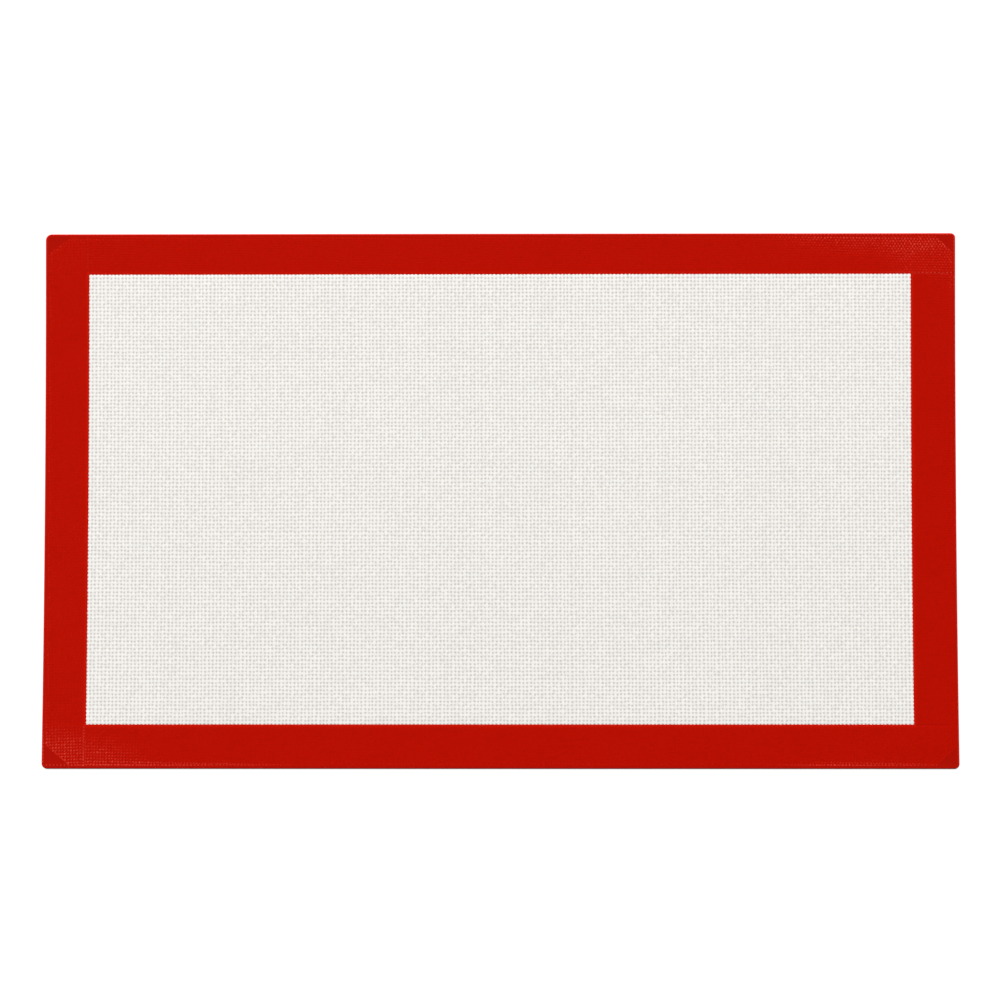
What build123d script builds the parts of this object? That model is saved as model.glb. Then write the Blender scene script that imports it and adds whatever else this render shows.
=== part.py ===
"""Silicone baking mat: a woven glass cloth sealed in silicone, edged all round in coloured silicone.

The cloth is the middle of the mat and carries everything else. A clear coat covers it on each face,
inside the window that the coloured edging leaves. The edging is four strips on each face. Past the
cut edge of the cloth the strips of the two faces meet and close the mat with a solid rim, and at the
corners, where the cloth is clipped off at an angle, with a solid triangle. Strips are half-lapped in
the corners: the end of one strip, at part of its thickness, lies over the thinned end of the next.

Frame: X along the long side, Y towards the back, Z up. The origin is the centre of the underside.
All sizes are in millimetres.
"""

import os

from build123d import *

# Outline of the mat
mat_length = 520.0
mat_width = 305.0
corner_radius = 3.1

# Width of the coloured edging on each side of the clear window
border_left = 24.5
border_right = 25.4
border_back = 23.0
border_front = 25.3

# Thickness of the layers. The coat and the cover lie on the cloth, on both of its faces
cloth_thickness = 0.36
coat_thickness = 0.17
cover_thickness = 0.27

# The rim of solid silicone round the cloth, which lies a little lower than the cover on the cloth
rim_width = 1.8
rim_drop = 0.04
rim_edge_radius = 0.2
window_edge_radius = 0.06

# How far each corner clip of the cloth reaches along X and along Y, from the mat's own corner
clip_back_left_x = 17.0
clip_back_left_y = 12.7
clip_back_right_x = 12.9
clip_back_right_y = 12.5
clip_front_left_x = 17.7
clip_front_left_y = 15.4
clip_front_right_x = 15.0
clip_front_right_y = 13.9

# Half-laps in the corners. The left strip lies on the back and front strips, and those on the right one.
# The share is how much of the cover the strip beneath has. A setback is how far outside the window the
# strip on top begins
lap_share = 0.5
setback_back_left = 0.3
setback_front_left = 1.1
setback_back_right = 0.7
setback_front_right = 0.3

# How far a cutting shape runs past what it cuts
overrun = 5.0

# Heights above the surface that the mat lies on
half_thickness = cover_thickness + cloth_thickness / 2
middle = half_thickness
cloth_base = middle - cloth_thickness / 2
total_thickness = 2 * half_thickness
cloth_top = middle + cloth_thickness / 2
rim_top = total_thickness - rim_drop
lap_plane = cloth_top + cover_thickness * lap_share

# Sides of the mat and of the window
left_side, right_side = -mat_length / 2, mat_length / 2
front_side, back_side = -mat_width / 2, mat_width / 2
window_left, window_right = left_side + border_left, right_side - border_right
window_front, window_back = front_side + border_front, back_side - border_back

middle_plane = Plane.XY.offset(middle)


def block(x_range, y_range, z_range):
    """A box between two values along each axis."""
    sizes = [high - low for low, high in (x_range, y_range, z_range)]
    centre = [(low + high) / 2 for low, high in (x_range, y_range, z_range)]
    return Pos(*centre) * Box(*sizes)


def corner_clip(x_corner, y_corner, x_reach, y_reach):
    """The triangle that is cut off the cloth at one corner of the mat."""
    x_inwards = x_reach if x_corner < 0 else -x_reach
    y_inwards = y_reach if y_corner < 0 else -y_reach
    return Polygon(
        (x_corner, y_corner),
        (x_corner + x_inwards, y_corner),
        (x_corner, y_corner + y_inwards),
        align=None,
    )


def cloth_outline():
    """The cut shape of the cloth: the mat less its rim, with the four corners clipped."""
    outline = Rectangle(mat_length - 2 * rim_width, mat_width - 2 * rim_width)
    outline -= corner_clip(left_side, back_side, clip_back_left_x, clip_back_left_y)
    outline -= corner_clip(right_side, back_side, clip_back_right_x, clip_back_right_y)
    outline -= corner_clip(left_side, front_side, clip_front_left_x, clip_front_left_y)
    outline -= corner_clip(right_side, front_side, clip_front_right_x, clip_front_right_y)
    return outline


def glass_cloth():
    """The woven glass cloth, as one flat sheet."""
    return Pos(0, 0, cloth_base) * extrude(cloth_outline(), cloth_thickness)


def upper_clear_coat():
    """The clear silicone over the cloth, filling the window on the upper face."""
    return block(
        (window_left, window_right),
        (window_front, window_back),
        (cloth_top, cloth_top + coat_thickness),
    )


def upper_edging(cloth):
    """All four upper strips as one ring: rim, raised cover, window and the seat of the cloth."""
    rim = Pos(0, 0, middle) * extrude(
        RectangleRounded(mat_length, mat_width, corner_radius), rim_top - middle
    )
    rim = fillet(rim.faces().sort_by(Axis.Z)[-1].edges(), rim_edge_radius)
    cover = Pos(0, 0, middle) * extrude(cloth_outline(), half_thickness)
    window = block(
        (window_left, window_right),
        (window_front, window_back),
        (middle - overrun, total_thickness + overrun),
    )
    ring = rim + cover - window - cloth
    window_edge = ring.faces().sort_by(Axis.Z)[-1].inner_wires()[0].edges()
    return fillet(window_edge, window_edge_radius)


def corner_laps():
    """The four laps, as (strip on top, strip beneath, x range, y range) of the lapped area."""
    left_out, right_out = left_side - overrun, right_side + overrun
    front_out, back_out = front_side - overrun, back_side + overrun
    back_left = (left_out, window_left - setback_back_left)
    front_left = (left_out, window_left - setback_front_left)
    back_right = (window_back + setback_back_right, back_out)
    front_right = (front_out, window_front - setback_front_right)
    right_end = (window_right, right_out)
    return [
        ("left", "back", back_left, (window_back, back_out)),
        ("left", "front", front_left, (front_out, window_front)),
        ("back", "right", right_end, back_right),
        ("front", "right", right_end, front_right),
    ]


def strip_zones():
    """Where each strip lies, as solids that overrun the mat outwards, with the corners half-lapped."""
    left_out, right_out = left_side - overrun, right_side + overrun
    front_out, back_out = front_side - overrun, back_side + overrun
    whole = (middle - overrun, total_thickness + overrun)
    above_lap = (lap_plane, whole[1])
    zones = {
        "left": block((left_out, window_left), (window_front, window_back), whole),
        "back": block((left_out, window_right), (window_back, back_out), whole),
        "front": block((left_out, window_right), (front_out, window_front), whole),
        "right": block((window_right, right_out), (front_out, back_out), whole),
    }
    for on_top, beneath, x_range, y_range in corner_laps():
        zones[beneath] -= block(x_range, y_range, above_lap)
        zones[on_top] += block(x_range, y_range, above_lap)
    return zones


def upper_strips(cloth):
    """The four strips of the upper face by side."""
    ring = upper_edging(cloth)
    return {side: ring & zone for side, zone in strip_zones().items()}


def build_mat():
    """Every piece of the mat by name."""
    cloth = glass_cloth()
    coat = upper_clear_coat()
    pieces = {
        "glass_cloth": cloth,
        "upper_clear_coat": coat,
        "lower_clear_coat": mirror(coat, about=middle_plane),
    }
    for side, strip in upper_strips(cloth).items():
        pieces[f"upper_border_{side}"] = strip
        pieces[f"lower_border_{side}"] = mirror(strip, about=middle_plane)
    return pieces


os.makedirs("parts", exist_ok=True)
for name, piece in build_mat().items():
    export_step(piece, f"parts/{name}.step")
    print(f"{name}: {len(piece.solids())} solid, {piece.volume:.1f} mm3")
print(f"mat: {mat_length} x {mat_width} x {total_thickness:.2f} mm")
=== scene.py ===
"""Silicone baking mat: woven glass cloth sealed in clear silicone, with a red silicone edging.

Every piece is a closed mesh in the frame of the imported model, in metres. The yarns of the cloth stand
up through the clear coat as real relief: each crossing is a short ridge along the yarn that lies on
top, and each opening of the mesh is a pit. The edging has a finer relief of its own, the staggered
dots of the press cloth, which show most in two of its corners.
"""

from __future__ import annotations

import logging
import math
from collections.abc import Callable, Iterable
from dataclasses import dataclass, field
from enum import Enum
from functools import cached_property

import bpy
import numpy as np
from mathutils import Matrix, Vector
from mathutils.geometry import delaunay_2d_cdt

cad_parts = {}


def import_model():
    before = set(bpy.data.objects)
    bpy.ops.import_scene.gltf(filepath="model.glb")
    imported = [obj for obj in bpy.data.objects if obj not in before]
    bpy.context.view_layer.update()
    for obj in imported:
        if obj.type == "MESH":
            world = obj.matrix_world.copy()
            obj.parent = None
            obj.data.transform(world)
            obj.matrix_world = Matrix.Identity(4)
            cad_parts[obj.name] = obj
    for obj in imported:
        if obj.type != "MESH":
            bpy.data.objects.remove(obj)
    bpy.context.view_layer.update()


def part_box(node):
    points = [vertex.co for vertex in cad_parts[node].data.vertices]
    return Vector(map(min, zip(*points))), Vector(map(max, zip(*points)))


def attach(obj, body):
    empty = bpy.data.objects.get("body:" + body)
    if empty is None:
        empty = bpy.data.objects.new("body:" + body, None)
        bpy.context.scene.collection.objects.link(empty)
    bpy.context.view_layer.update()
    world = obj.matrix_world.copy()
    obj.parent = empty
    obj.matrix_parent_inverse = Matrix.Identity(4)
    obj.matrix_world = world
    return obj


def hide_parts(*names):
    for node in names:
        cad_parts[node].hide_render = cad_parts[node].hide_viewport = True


MM = 0.001
PLACE = "weave_place"
# Attribute of the painted light at the edges of the red edging
PAINTED_EDGE_LIGHT = "painted_rim_light"
# Attribute of the nubs, painted pale as thin cover and as glints
THIN_AND_GLINT = "thin_cover_and_glint"
VALUE = "NodeSocketFloat"
WHITE = (1.0, 1.0, 1.0, 1.0)

# Third number of the random draws for each opening or dot, and for each crossing of yarns
OPENING_DRAW = 0.5
CROSSING_DRAW = 0.25

log = logging.getLogger("baking_mat")

Array = np.ndarray
Point = tuple[float, float]
Colour = tuple[float, float, float]
Socket = bpy.types.NodeSocket
Heights = Callable[[Array, Array, Array], Array]
Strengths = Callable[[Array, Array], Array]


class Side(Enum):
    """The side of the mat that a border strip runs along."""

    LEFT = "left"
    RIGHT = "right"
    BACK = "back"
    FRONT = "front"


class Face(Enum):
    """The face of the mat that a layer lies on."""

    UPPER = "upper"
    LOWER = "lower"


# How far the edging of each side has spread inwards over the window
SPREAD = {Side.LEFT: 0.48 * MM, Side.RIGHT: 0.13 * MM, Side.BACK: 0.4 * MM, Side.FRONT: -0.08 * MM}


def smooth_step(value: Array, low: float, high: float) -> Array:
    """Rise from 0 at low to 1 at high, with level ends.

    Args:
        value: where to read the step.
        low: the value where it starts.
        high: the value where it ends.

    Returns:
        The step at each value.
    """
    share = np.clip((value - low) / (high - low), 0.0, 1.0)
    return share * share * (3.0 - 2.0 * share)


def round_over(distance: Array, width: float, depth: float) -> Array:
    """Drop of a rounded edge below the face that it ends.

    Args:
        distance: distance in from the edge.
        width: how far in the rounding reaches.
        depth: how far it falls at the edge.

    Returns:
        The drop, from depth at the edge to 0 at the width and beyond.
    """
    run = np.clip(1.0 - distance / width, 0.0, 1.0)
    return depth * (1.0 - np.sqrt(1.0 - run * run))


def divide(start: Point, end: Point, spacing: float) -> list[Point]:
    """Cut a stretch into equal parts.

    Args:
        start: where it starts.
        end: where it ends.
        spacing: about how long a part is.

    Returns:
        The points between the parts, with both ends.
    """
    parts = max(1, round(math.dist(start, end) / spacing))
    return [tuple(a + (b - a) * k / parts for a, b in zip(start, end)) for k in range(parts + 1)]


@dataclass(frozen=True)
class ConvexShape:
    """A convex outline as half-planes in order round it, each (normal x, normal y, offset)."""

    planes: tuple[tuple[float, float, float], ...]

    def distance(self, x: Array, y: Array) -> Array:
        """Distance in from the outline, negative outside."""
        return np.min([nx * x + ny * y - offset for nx, ny, offset in self.planes], axis=0)

    def corners(self, inset: float = 0.0) -> list[Point]:
        """Corners of the outline moved inwards.

        Args:
            inset: how far to move it, negative for outwards.

        Returns:
            The corners in order.
        """
        found = []
        for (ax, ay, ao), (bx, by, bo) in zip(self.planes, self.planes[1:] + self.planes[:1]):
            cross = ax * by - ay * bx
            a_offset, b_offset = ao + inset, bo + inset
            found.append(
                ((a_offset * by - b_offset * ay) / cross, (ax * b_offset - bx * a_offset) / cross)
            )
        return found


@dataclass(frozen=True)
class MatLayout:
    """Outline, window and levels of the mat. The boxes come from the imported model."""

    left: float
    right: float
    front: float
    back: float
    window_left: float
    window_right: float
    window_front: float
    window_back: float
    middle: float
    cloth_top: float
    coat_top: float
    cover_top: float
    radius_back_left: float = 3.5 * MM
    radius_back_right: float = 2.7 * MM
    radius_front_left: float = 3.3 * MM
    radius_front_right: float = 3.0 * MM
    corner_steps: int = 12
    draw_in: float = 0.7 * MM
    slope: float = 0.2 * MM
    rim_width: float = 1.8 * MM
    lap_share: float = 0.5
    clip_back_left: Point = (17.0 * MM, 12.7 * MM)
    clip_back_right: Point = (12.9 * MM, 12.5 * MM)
    clip_front_left: Point = (17.7 * MM, 15.4 * MM)
    clip_front_right: Point = (15.0 * MM, 13.9 * MM)
    setback_back_left: float = 0.3 * MM
    setback_front_left: float = 0.34 * MM
    setback_back_right: float = 0.2 * MM
    setback_front_right: float = 0.3 * MM

    @classmethod
    def from_frame(cls) -> MatLayout:
        """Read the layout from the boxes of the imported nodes.

        The pressed edging has spread a little over the window at the left, right and back, and
        falls a little short of it at the front.

        Returns:
            The layout.
        """
        coat_low, coat_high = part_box("upper_clear_coat")
        left_low, left_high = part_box("upper_border_left")
        right_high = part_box("upper_border_right")[1]
        return cls(
            left=left_low.x,
            right=right_high.x,
            front=left_low.y,
            back=left_high.y,
            window_left=coat_low.x + SPREAD[Side.LEFT],
            window_right=coat_high.x - SPREAD[Side.RIGHT],
            window_front=coat_low.y + SPREAD[Side.FRONT],
            window_back=coat_high.y - SPREAD[Side.BACK],
            middle=left_low.z,
            cloth_top=coat_low.z,
            coat_top=coat_high.z,
            cover_top=left_high.z,
        )

    @property
    def lap_plane(self) -> float:
        """Height at which one strip's end lies on another's."""
        return self.cloth_top + (self.cover_top - self.cloth_top) * self.lap_share

    def edge_distance(self, x: Array, y: Array) -> Array:
        """Distance in from the mat's rounded outline.

        Args:
            x: places along the mat.
            y: places across it.

        Returns:
            The distance at each place, negative outside.
        """
        at_left = x < (self.left + self.right) / 2
        at_back = y > (self.front + self.back) / 2
        radius = np.where(
            at_back,
            np.where(at_left, self.radius_back_left, self.radius_back_right),
            np.where(at_left, self.radius_front_left, self.radius_front_right),
        )
        past_x = np.abs(x - (self.left + self.right) / 2) - (self.right - self.left) / 2 + radius
        past_y = np.abs(y - (self.front + self.back) / 2) - (self.back - self.front) / 2 + radius
        outside = np.hypot(np.maximum(past_x, 0.0), np.maximum(past_y, 0.0))
        return radius - outside - np.minimum(np.maximum(past_x, past_y), 0.0)

    def laid(self, x: Array, y: Array) -> tuple[Array, Array]:
        """Places once the soft mat lies as it does: short sides drawn in, and the back sloping.

        Args:
            x: places along the straight-sided mat.
            y: places across it.

        Returns:
            The new places along and across.
        """
        along = (x - (self.left + self.right) / 2) / ((self.right - self.left) / 2)
        across = (y - (self.front + self.back) / 2) / ((self.back - self.front) / 2)
        new_x = x - self.draw_in * along * (1.0 - across * across)
        return new_x, y + self.slope * along * (1.0 + across) / 2

    def cloth(self) -> ConvexShape:
        """The cut outline of the cloth: the mat less its rim, with the corners clipped.

        Returns:
            Its eight half-planes, clip and side by turns, from the front left clip.
        """
        planes = []
        corners = (
            (self.left, self.front, 1, 1, self.clip_front_left),
            (self.right, self.front, -1, 1, self.clip_front_right),
            (self.right, self.back, -1, -1, self.clip_back_right),
            (self.left, self.back, 1, -1, self.clip_back_left),
        )
        sides = (
            (0.0, 1.0, self.front + self.rim_width),
            (-1.0, 0.0, self.rim_width - self.right),
            (0.0, -1.0, self.rim_width - self.back),
            (1.0, 0.0, self.left + self.rim_width),
        )
        for (x, y, x_in, y_in, (reach_x, reach_y)), side in zip(corners, sides):
            length = math.hypot(reach_x, reach_y)
            nx, ny = x_in * reach_y / length, y_in * reach_x / length
            planes += [(nx, ny, nx * (x + x_in * reach_x) + ny * y), side]
        return ConvexShape(tuple(planes))

    def rounded_outline(self, inset: float = 0.0) -> list[Point]:
        """The mat's outline moved inwards, anticlockwise from the front right corner.

        Args:
            inset: how far to move it.

        Returns:
            The points of the four arcs, in order.
        """
        corners = (
            (self.right, self.front, -1, 1, self.radius_front_right),
            (self.right, self.back, -1, -1, self.radius_back_right),
            (self.left, self.back, 1, -1, self.radius_back_left),
            (self.left, self.front, 1, 1, self.radius_front_left),
        )
        points = []
        for quarter, (x, y, x_in, y_in, radius) in enumerate(corners):
            centre_x, centre_y, reach = x + x_in * radius, y + y_in * radius, radius - inset
            for step in range(self.corner_steps + 1):
                turn = math.pi / 2 * (quarter - 1 + step / self.corner_steps)
                points.append((centre_x + reach * math.cos(turn), centre_y + reach * math.sin(turn)))
        return points


@dataclass(frozen=True)
class WeaveLattice:
    """Where the yarns of the cloth cross. Openings lie on whole numbers, crossings between them."""

    layout: MatLayout
    columns: int = 221
    rows: int = 120
    ridge_share: float = 0.21
    wander: float = 0.06
    wander_waves: Point = (1.7, 2.3)
    wander_starts: Point = (0.15, 0.4)
    column_drift: Point = (-0.36, -0.24)
    row_drift: Point = (0.2, -0.12)
    column_spread: float = 0.07
    row_spread: float = 0.035
    beyond: int = 16
    seed: int = 5
    scallop: float = 0.16 * MM
    edge_steps: int = 4
    search_rounds: int = 8

    @property
    def pitch_x(self) -> float:
        """Distance between two yarns along the mat."""
        return (self.layout.window_right - self.layout.window_left) / self.columns

    @property
    def pitch_y(self) -> float:
        """Distance between two yarns across the mat."""
        return (self.layout.window_back - self.layout.window_front) / self.rows

    @cached_property
    def _yarn_shifts(self) -> tuple[tuple[Array, Array], ...]:
        """How far each yarn lies from its even place.

        Returns:
            Numbers and shifts of the yarns along the mat, and the same across it.
        """
        draw = np.random.default_rng(self.seed)
        shifts = []
        for count, spread in ((self.columns, self.column_spread), (self.rows, self.row_spread)):
            numbers = np.arange(-self.beyond, count + self.beyond) + 0.5
            offsets = draw.normal(0.0, spread, len(numbers))
            sides = np.searchsorted(numbers, [0.0, float(count)])
            shifts.append((np.insert(numbers, sides, [0.0, float(count)]), np.insert(offsets, sides, 0.0)))
        return tuple(shifts)

    def place(self, u: Array, v: Array) -> tuple[Array, Array]:
        """Place of lattice numbers on the mat, with each yarn's own shift and the slow drift of all.

        Args:
            u: numbers along the mat.
            v: numbers across it.

        Returns:
            The x and y of each.
        """
        across_u, across_v = u / self.columns, v / self.rows
        wave_u = math.tau * (self.wander_waves[0] * across_v + self.wander_starts[0])
        wave_v = math.tau * (self.wander_waves[1] * across_u + self.wander_starts[1])
        slow_u = self.wander * np.sin(math.pi * across_u) * np.sin(wave_u)
        slow_v = self.wander * np.sin(math.pi * across_v) * np.sin(wave_v)
        for half_waves, drifts in enumerate(zip(self.column_drift, self.row_drift), start=1):
            slow_u = slow_u + drifts[0] * np.sin(half_waves * math.pi * across_u)
            slow_v = slow_v + drifts[1] * np.sin(half_waves * math.pi * across_v)
        own_u, own_v = (np.interp(n, *known) for n, known in zip((u, v), self._yarn_shifts))
        x = self.layout.window_left + (u + slow_u + own_u) * self.pitch_x
        y = self.layout.window_front + (v + slow_v + own_v) * self.pitch_y
        return x, y

    def numbers(self, x: Array, y: Array) -> tuple[Array, Array]:
        """Lattice numbers of places on the mat: the reverse of place().

        Args:
            x: places along the mat.
            y: places across it.

        Returns:
            The u and v of each.
        """
        u = (x - self.layout.window_left) / self.pitch_x
        v = (y - self.layout.window_front) / self.pitch_y
        for _ in range(self.search_rounds):
            back_x, back_y = self.place(u, v)
            u = u + (x - back_x) / self.pitch_x
            v = v + (y - back_y) / self.pitch_y
        return u, v

    def level(self, x: Array, y: Array) -> Array:
        """Relief at any place, 1 on a crossing and -1 in an opening."""
        u, v = self.numbers(x, y)
        return -(np.cos(math.tau * u) + np.cos(math.tau * v)) / 2

    def points(self, low: Point, high: Point) -> tuple[Array, Array, Array]:
        """Ridge ends and pits whose lattice numbers lie between two corners.

        Args:
            low: the lowest u and v.
            high: the highest u and v.

        Returns:
            x, y and level of each point, where 1 is a ridge and -1 a pit.
        """
        i, j = np.meshgrid(
            np.arange(math.floor(low[0]), math.ceil(high[0]) + 1),
            np.arange(math.floor(low[1]), math.ceil(high[1]) + 1),
            indexing="ij",
        )
        i, j = i.ravel().astype(float), j.ravel().astype(float)
        along_y = (i + j) % 2 == 0
        du = np.where(along_y, 0.0, self.ridge_share)
        dv = np.where(along_y, self.ridge_share, 0.0)
        u = np.concatenate([i + 0.5 - du, i + 0.5 + du, i])
        v = np.concatenate([j + 0.5 - dv, j + 0.5 + dv, j])
        level = np.concatenate([np.ones(2 * len(i)), -np.ones(len(i))])
        keep = (u > low[0]) & (u < high[0]) & (v > low[1]) & (v < high[1])
        x, y = self.place(u[keep], v[keep])
        return x, y, level[keep]

    def window_side(self, side: Side) -> list[Point]:
        """The wavy line where the edging ends over one side of the window.

        It bulges outwards at each yarn and inwards at each opening. Both ends lie on the window's
        corners.

        Args:
            side: the side of the window.

        Returns:
            Its points, by rising x or y.
        """
        along_x = side in (Side.BACK, Side.FRONT)
        count = self.columns if along_x else self.rows
        run = np.arange(count * self.edge_steps + 1) / self.edge_steps
        fixed = np.full_like(run, {Side.BACK: self.rows, Side.RIGHT: self.columns}.get(side, 0.0))
        x, y = self.place(*((run, fixed) if along_x else (fixed, run)))
        outwards = 1.0 if side in (Side.BACK, Side.RIGHT) else -1.0
        wave = -np.cos(math.tau * run) * self.scallop * outwards
        wave[[0, -1]] = 0.0
        if along_x:
            y = y + wave
        else:
            x = x + wave
        return list(zip(x.tolist(), y.tolist()))


@dataclass(frozen=True)
class PressedPrint:
    """The print of the press cloth in one strip: dots along rows, every other row staggered.

    Where the sum of two whole lattice numbers is even there is a dot. The dips lie between the rows.
    """

    layout: MatLayout
    turn: float
    pitch_x: float
    pitch_y: float
    row_share: float = 0.4
    spread: float = 0.4
    seed: int = 11

    def place(self, u: Array, v: Array) -> tuple[Array, Array]:
        """Place of lattice numbers on the mat.

        Args:
            u: numbers along the mat.
            v: numbers across it.

        Returns:
            The x and y of each.
        """
        along, across = u * self.pitch_x, v * self.pitch_y
        cos, sin = math.cos(self.turn), math.sin(self.turn)
        return along * cos - across * sin, along * sin + across * cos

    def numbers(self, x: Array, y: Array) -> tuple[Array, Array]:
        """Lattice numbers of places on the mat: the reverse of place().

        Args:
            x: places along the mat.
            y: places across it.

        Returns:
            The u and v of each.
        """
        cos, sin = math.cos(self.turn), math.sin(self.turn)
        return (x * cos + y * sin) / self.pitch_x, (y * cos - x * sin) / self.pitch_y

    def level(self, x: Array, y: Array) -> Array:
        """Relief at any place, 1 on a dot and below 0 in a dip."""
        u, v = self.numbers(x, y)
        spots, rows = np.cos(math.pi * u) * np.cos(math.pi * v), np.cos(math.tau * v)
        return spots + self.row_share * (rows - spots)

    def points(self) -> tuple[Array, Array, Array]:
        """Dots, dips and the places midway along the rows, over the whole mat.

        Returns:
            x, y and level of each point. The dots differ in strength.
        """
        lay = self.layout
        ends = self.numbers(
            np.array([lay.left, lay.right, lay.left, lay.right]),
            np.array([lay.front, lay.front, lay.back, lay.back]),
        )
        u, v = np.meshgrid(
            *(np.arange(math.floor(n.min()), math.ceil(n.max()) + 1.0) for n in ends), indexing="ij"
        )
        u, v = u.ravel(), v.ravel()
        strength = 1.0 + np.random.default_rng(self.seed).uniform(-self.spread, self.spread, len(u))
        level = np.where((u + v) % 2 == 0, strength, 2.0 * self.row_share - 1.0)
        x, y = self.place(np.concatenate([u, u + 0.5]), np.concatenate([v, v + 0.5]))
        return x, y, np.concatenate([level, np.full(len(u), -self.row_share)])


Lattice = WeaveLattice | PressedPrint


@dataclass
class PlatePlan:
    """What a plate is cut from: its outline, the lines its triangles keep to, and its free points."""

    outline: list[Point]
    lines: list[list[Point]] = field(default_factory=list)
    x: Array = field(default_factory=lambda: np.empty(0))
    y: Array = field(default_factory=lambda: np.empty(0))
    level: Array = field(default_factory=lambda: np.empty(0))
    merge: float = 0.002 * MM

    def triangulate(self) -> tuple[Array, Array, Array]:
        """Cut the plan into triangles.

        Returns:
            The points as an array of x and y, the relief level of each free one (others have no
            number), and the triangles.
        """
        edge = [Vector(p) / MM for p in self.outline]
        verts = edge + [Vector(p) / MM for line in self.lines for p in line]
        first_free = len(verts)
        verts += [Vector(p) / MM for p in zip(self.x.tolist(), self.y.tolist())]
        ties, start = [], len(edge)
        for line in self.lines:
            ties += [(start + k, start + k + 1) for k in range(len(line) - 1)]
            start += len(line)
        places, _, triangles, origins, _, owners = delaunay_2d_cdt(
            verts, ties, [list(range(len(edge)))], 0, self.merge / MM, True
        )
        inside = [tri for tri, owner in zip(triangles, owners) if owner]
        level = np.full(len(places), np.nan)
        for index, origin in enumerate(origins):
            free = [k - first_free for k in origin if k >= first_free]
            if free:
                level[index] = self.level[free[0]]
        used = np.unique(np.array(inside))
        renumber = np.full(len(places), -1)
        renumber[used] = np.arange(len(used))
        xy = np.array([tuple(p) for p in places])[used] * MM
        return xy, level[used], renumber[np.array(inside)]


def boundary_edges(triangles: Array) -> Array:
    """Edges that only one triangle has, in the direction in which that triangle runs.

    Args:
        triangles: triples of point numbers.

    Returns:
        Pairs of point numbers.
    """
    edges = np.concatenate([triangles[:, [0, 1]], triangles[:, [1, 2]], triangles[:, [2, 0]]])
    known = {tuple(edge) for edge in edges.tolist()}
    return np.array([edge for edge in edges.tolist() if (edge[1], edge[0]) not in known])


@dataclass
class Plate:
    """A layer of the mat as a closed mesh between a top and a bottom."""

    name: str
    plan: PlatePlan
    top: Heights
    bottom: Heights
    print_strength: Strengths | None = None
    shares: dict[str, Strengths] = field(default_factory=dict)
    plain_bottom: bool = False
    crease: float = math.radians(32)

    def build(self, layout: MatLayout, lattice: Lattice, face: Face) -> bpy.types.Object:
        """Make the plate's object, turned over about the middle of the mat for the lower face.

        Args:
            layout: the mat's outline and levels.
            lattice: the pattern of its relief, whose numbers each point gets for its material.
            face: the face of the mat that the plate lies on.

        Returns:
            The new object, in the scene.
        """
        xy, level, triangles = self.plan.triangulate()
        x, y = xy[:, 0], xy[:, 1]
        level = np.where(np.isnan(level), lattice.level(x, y), level)
        upper = np.column_stack([x, y, self.top(x, y, level)])
        rim = boundary_edges(triangles)
        if self.plain_bottom:
            kept, under = self._plain_bottom(rim, x, y)
        else:
            kept, under = np.arange(len(x)), triangles
        lower_number = np.full(len(x), -1)
        lower_number[kept] = len(x) + np.arange(len(kept))
        lower = np.column_stack([x[kept], y[kept], self.bottom(x[kept], y[kept], level[kept])])
        walls_a = np.column_stack([rim[:, 1], rim[:, 0], lower_number[rim[:, 0]]])
        walls_b = np.column_stack([rim[:, 1], lower_number[rim[:, 0]], lower_number[rim[:, 1]]])
        faces = np.concatenate([triangles, lower_number[under][:, ::-1], walls_a, walls_b])
        points = np.concatenate([upper, lower])
        if face is Face.LOWER:
            points[:, 2] = 2 * layout.middle - points[:, 2]
            faces = faces[:, ::-1]
        return self._object(points, faces, layout, lattice)

    def _plain_bottom(self, rim: Array, x: Array, y: Array) -> tuple[Array, Array]:
        """Triangles of a bottom that has no points but those of the outline.

        Args:
            rim: the outline's edges.
            x: places of all the points along the mat.
            y: places of all the points across it.

        Returns:
            The numbers of the outline's points, and the triangles between them.
        """
        after = dict(rim.tolist())
        loop = [int(rim[0, 0])]
        while after[loop[-1]] != loop[0]:
            loop.append(after[loop[-1]])
        verts = [Vector((x[k], y[k])) / MM for k in loop]
        found = delaunay_2d_cdt(verts, [], [list(range(len(loop)))], 1, self.plan.merge / MM, True)
        back = np.array([loop[origin[0]] for origin in found[3]])
        return np.array(loop), back[np.array(found[2])]

    def _object(
        self, points: Array, faces: Array, layout: MatLayout, lattice: Lattice
    ) -> bpy.types.Object:
        """Put the mesh in the scene, shaded smooth up to its creases, with its lattice numbers.

        Args:
            points: the vertices.
            faces: triples of vertex numbers.
            layout: the mat's outline and levels.
            lattice: the pattern of its relief.

        Returns:
            The new object.
        """
        x, y = points[:, 0], points[:, 1]
        u, v = lattice.numbers(x, y)
        strength = np.ones(len(x)) if self.print_strength is None else self.print_strength(x, y)
        mesh = bpy.data.meshes.new(self.name)
        laid = np.column_stack([*layout.laid(x, y), points[:, 2]])
        mesh.from_pydata(laid.tolist(), [], faces.tolist())
        mesh.shade_smooth()
        mesh.set_sharp_from_angle(angle=self.crease)
        place = mesh.attributes.new(PLACE, "FLOAT_VECTOR", "POINT")
        place.data.foreach_set("vector", np.column_stack([u, v, strength]).astype(np.float32).ravel())
        for name, share in self.shares.items():
            stored = mesh.attributes.new(name, "FLOAT", "POINT")
            stored.data.foreach_set("value", share(x, y).astype(np.float32))
        mesh.update()
        made = bpy.data.objects.new(self.name, mesh)
        bpy.context.scene.collection.objects.link(made)
        return made


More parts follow.
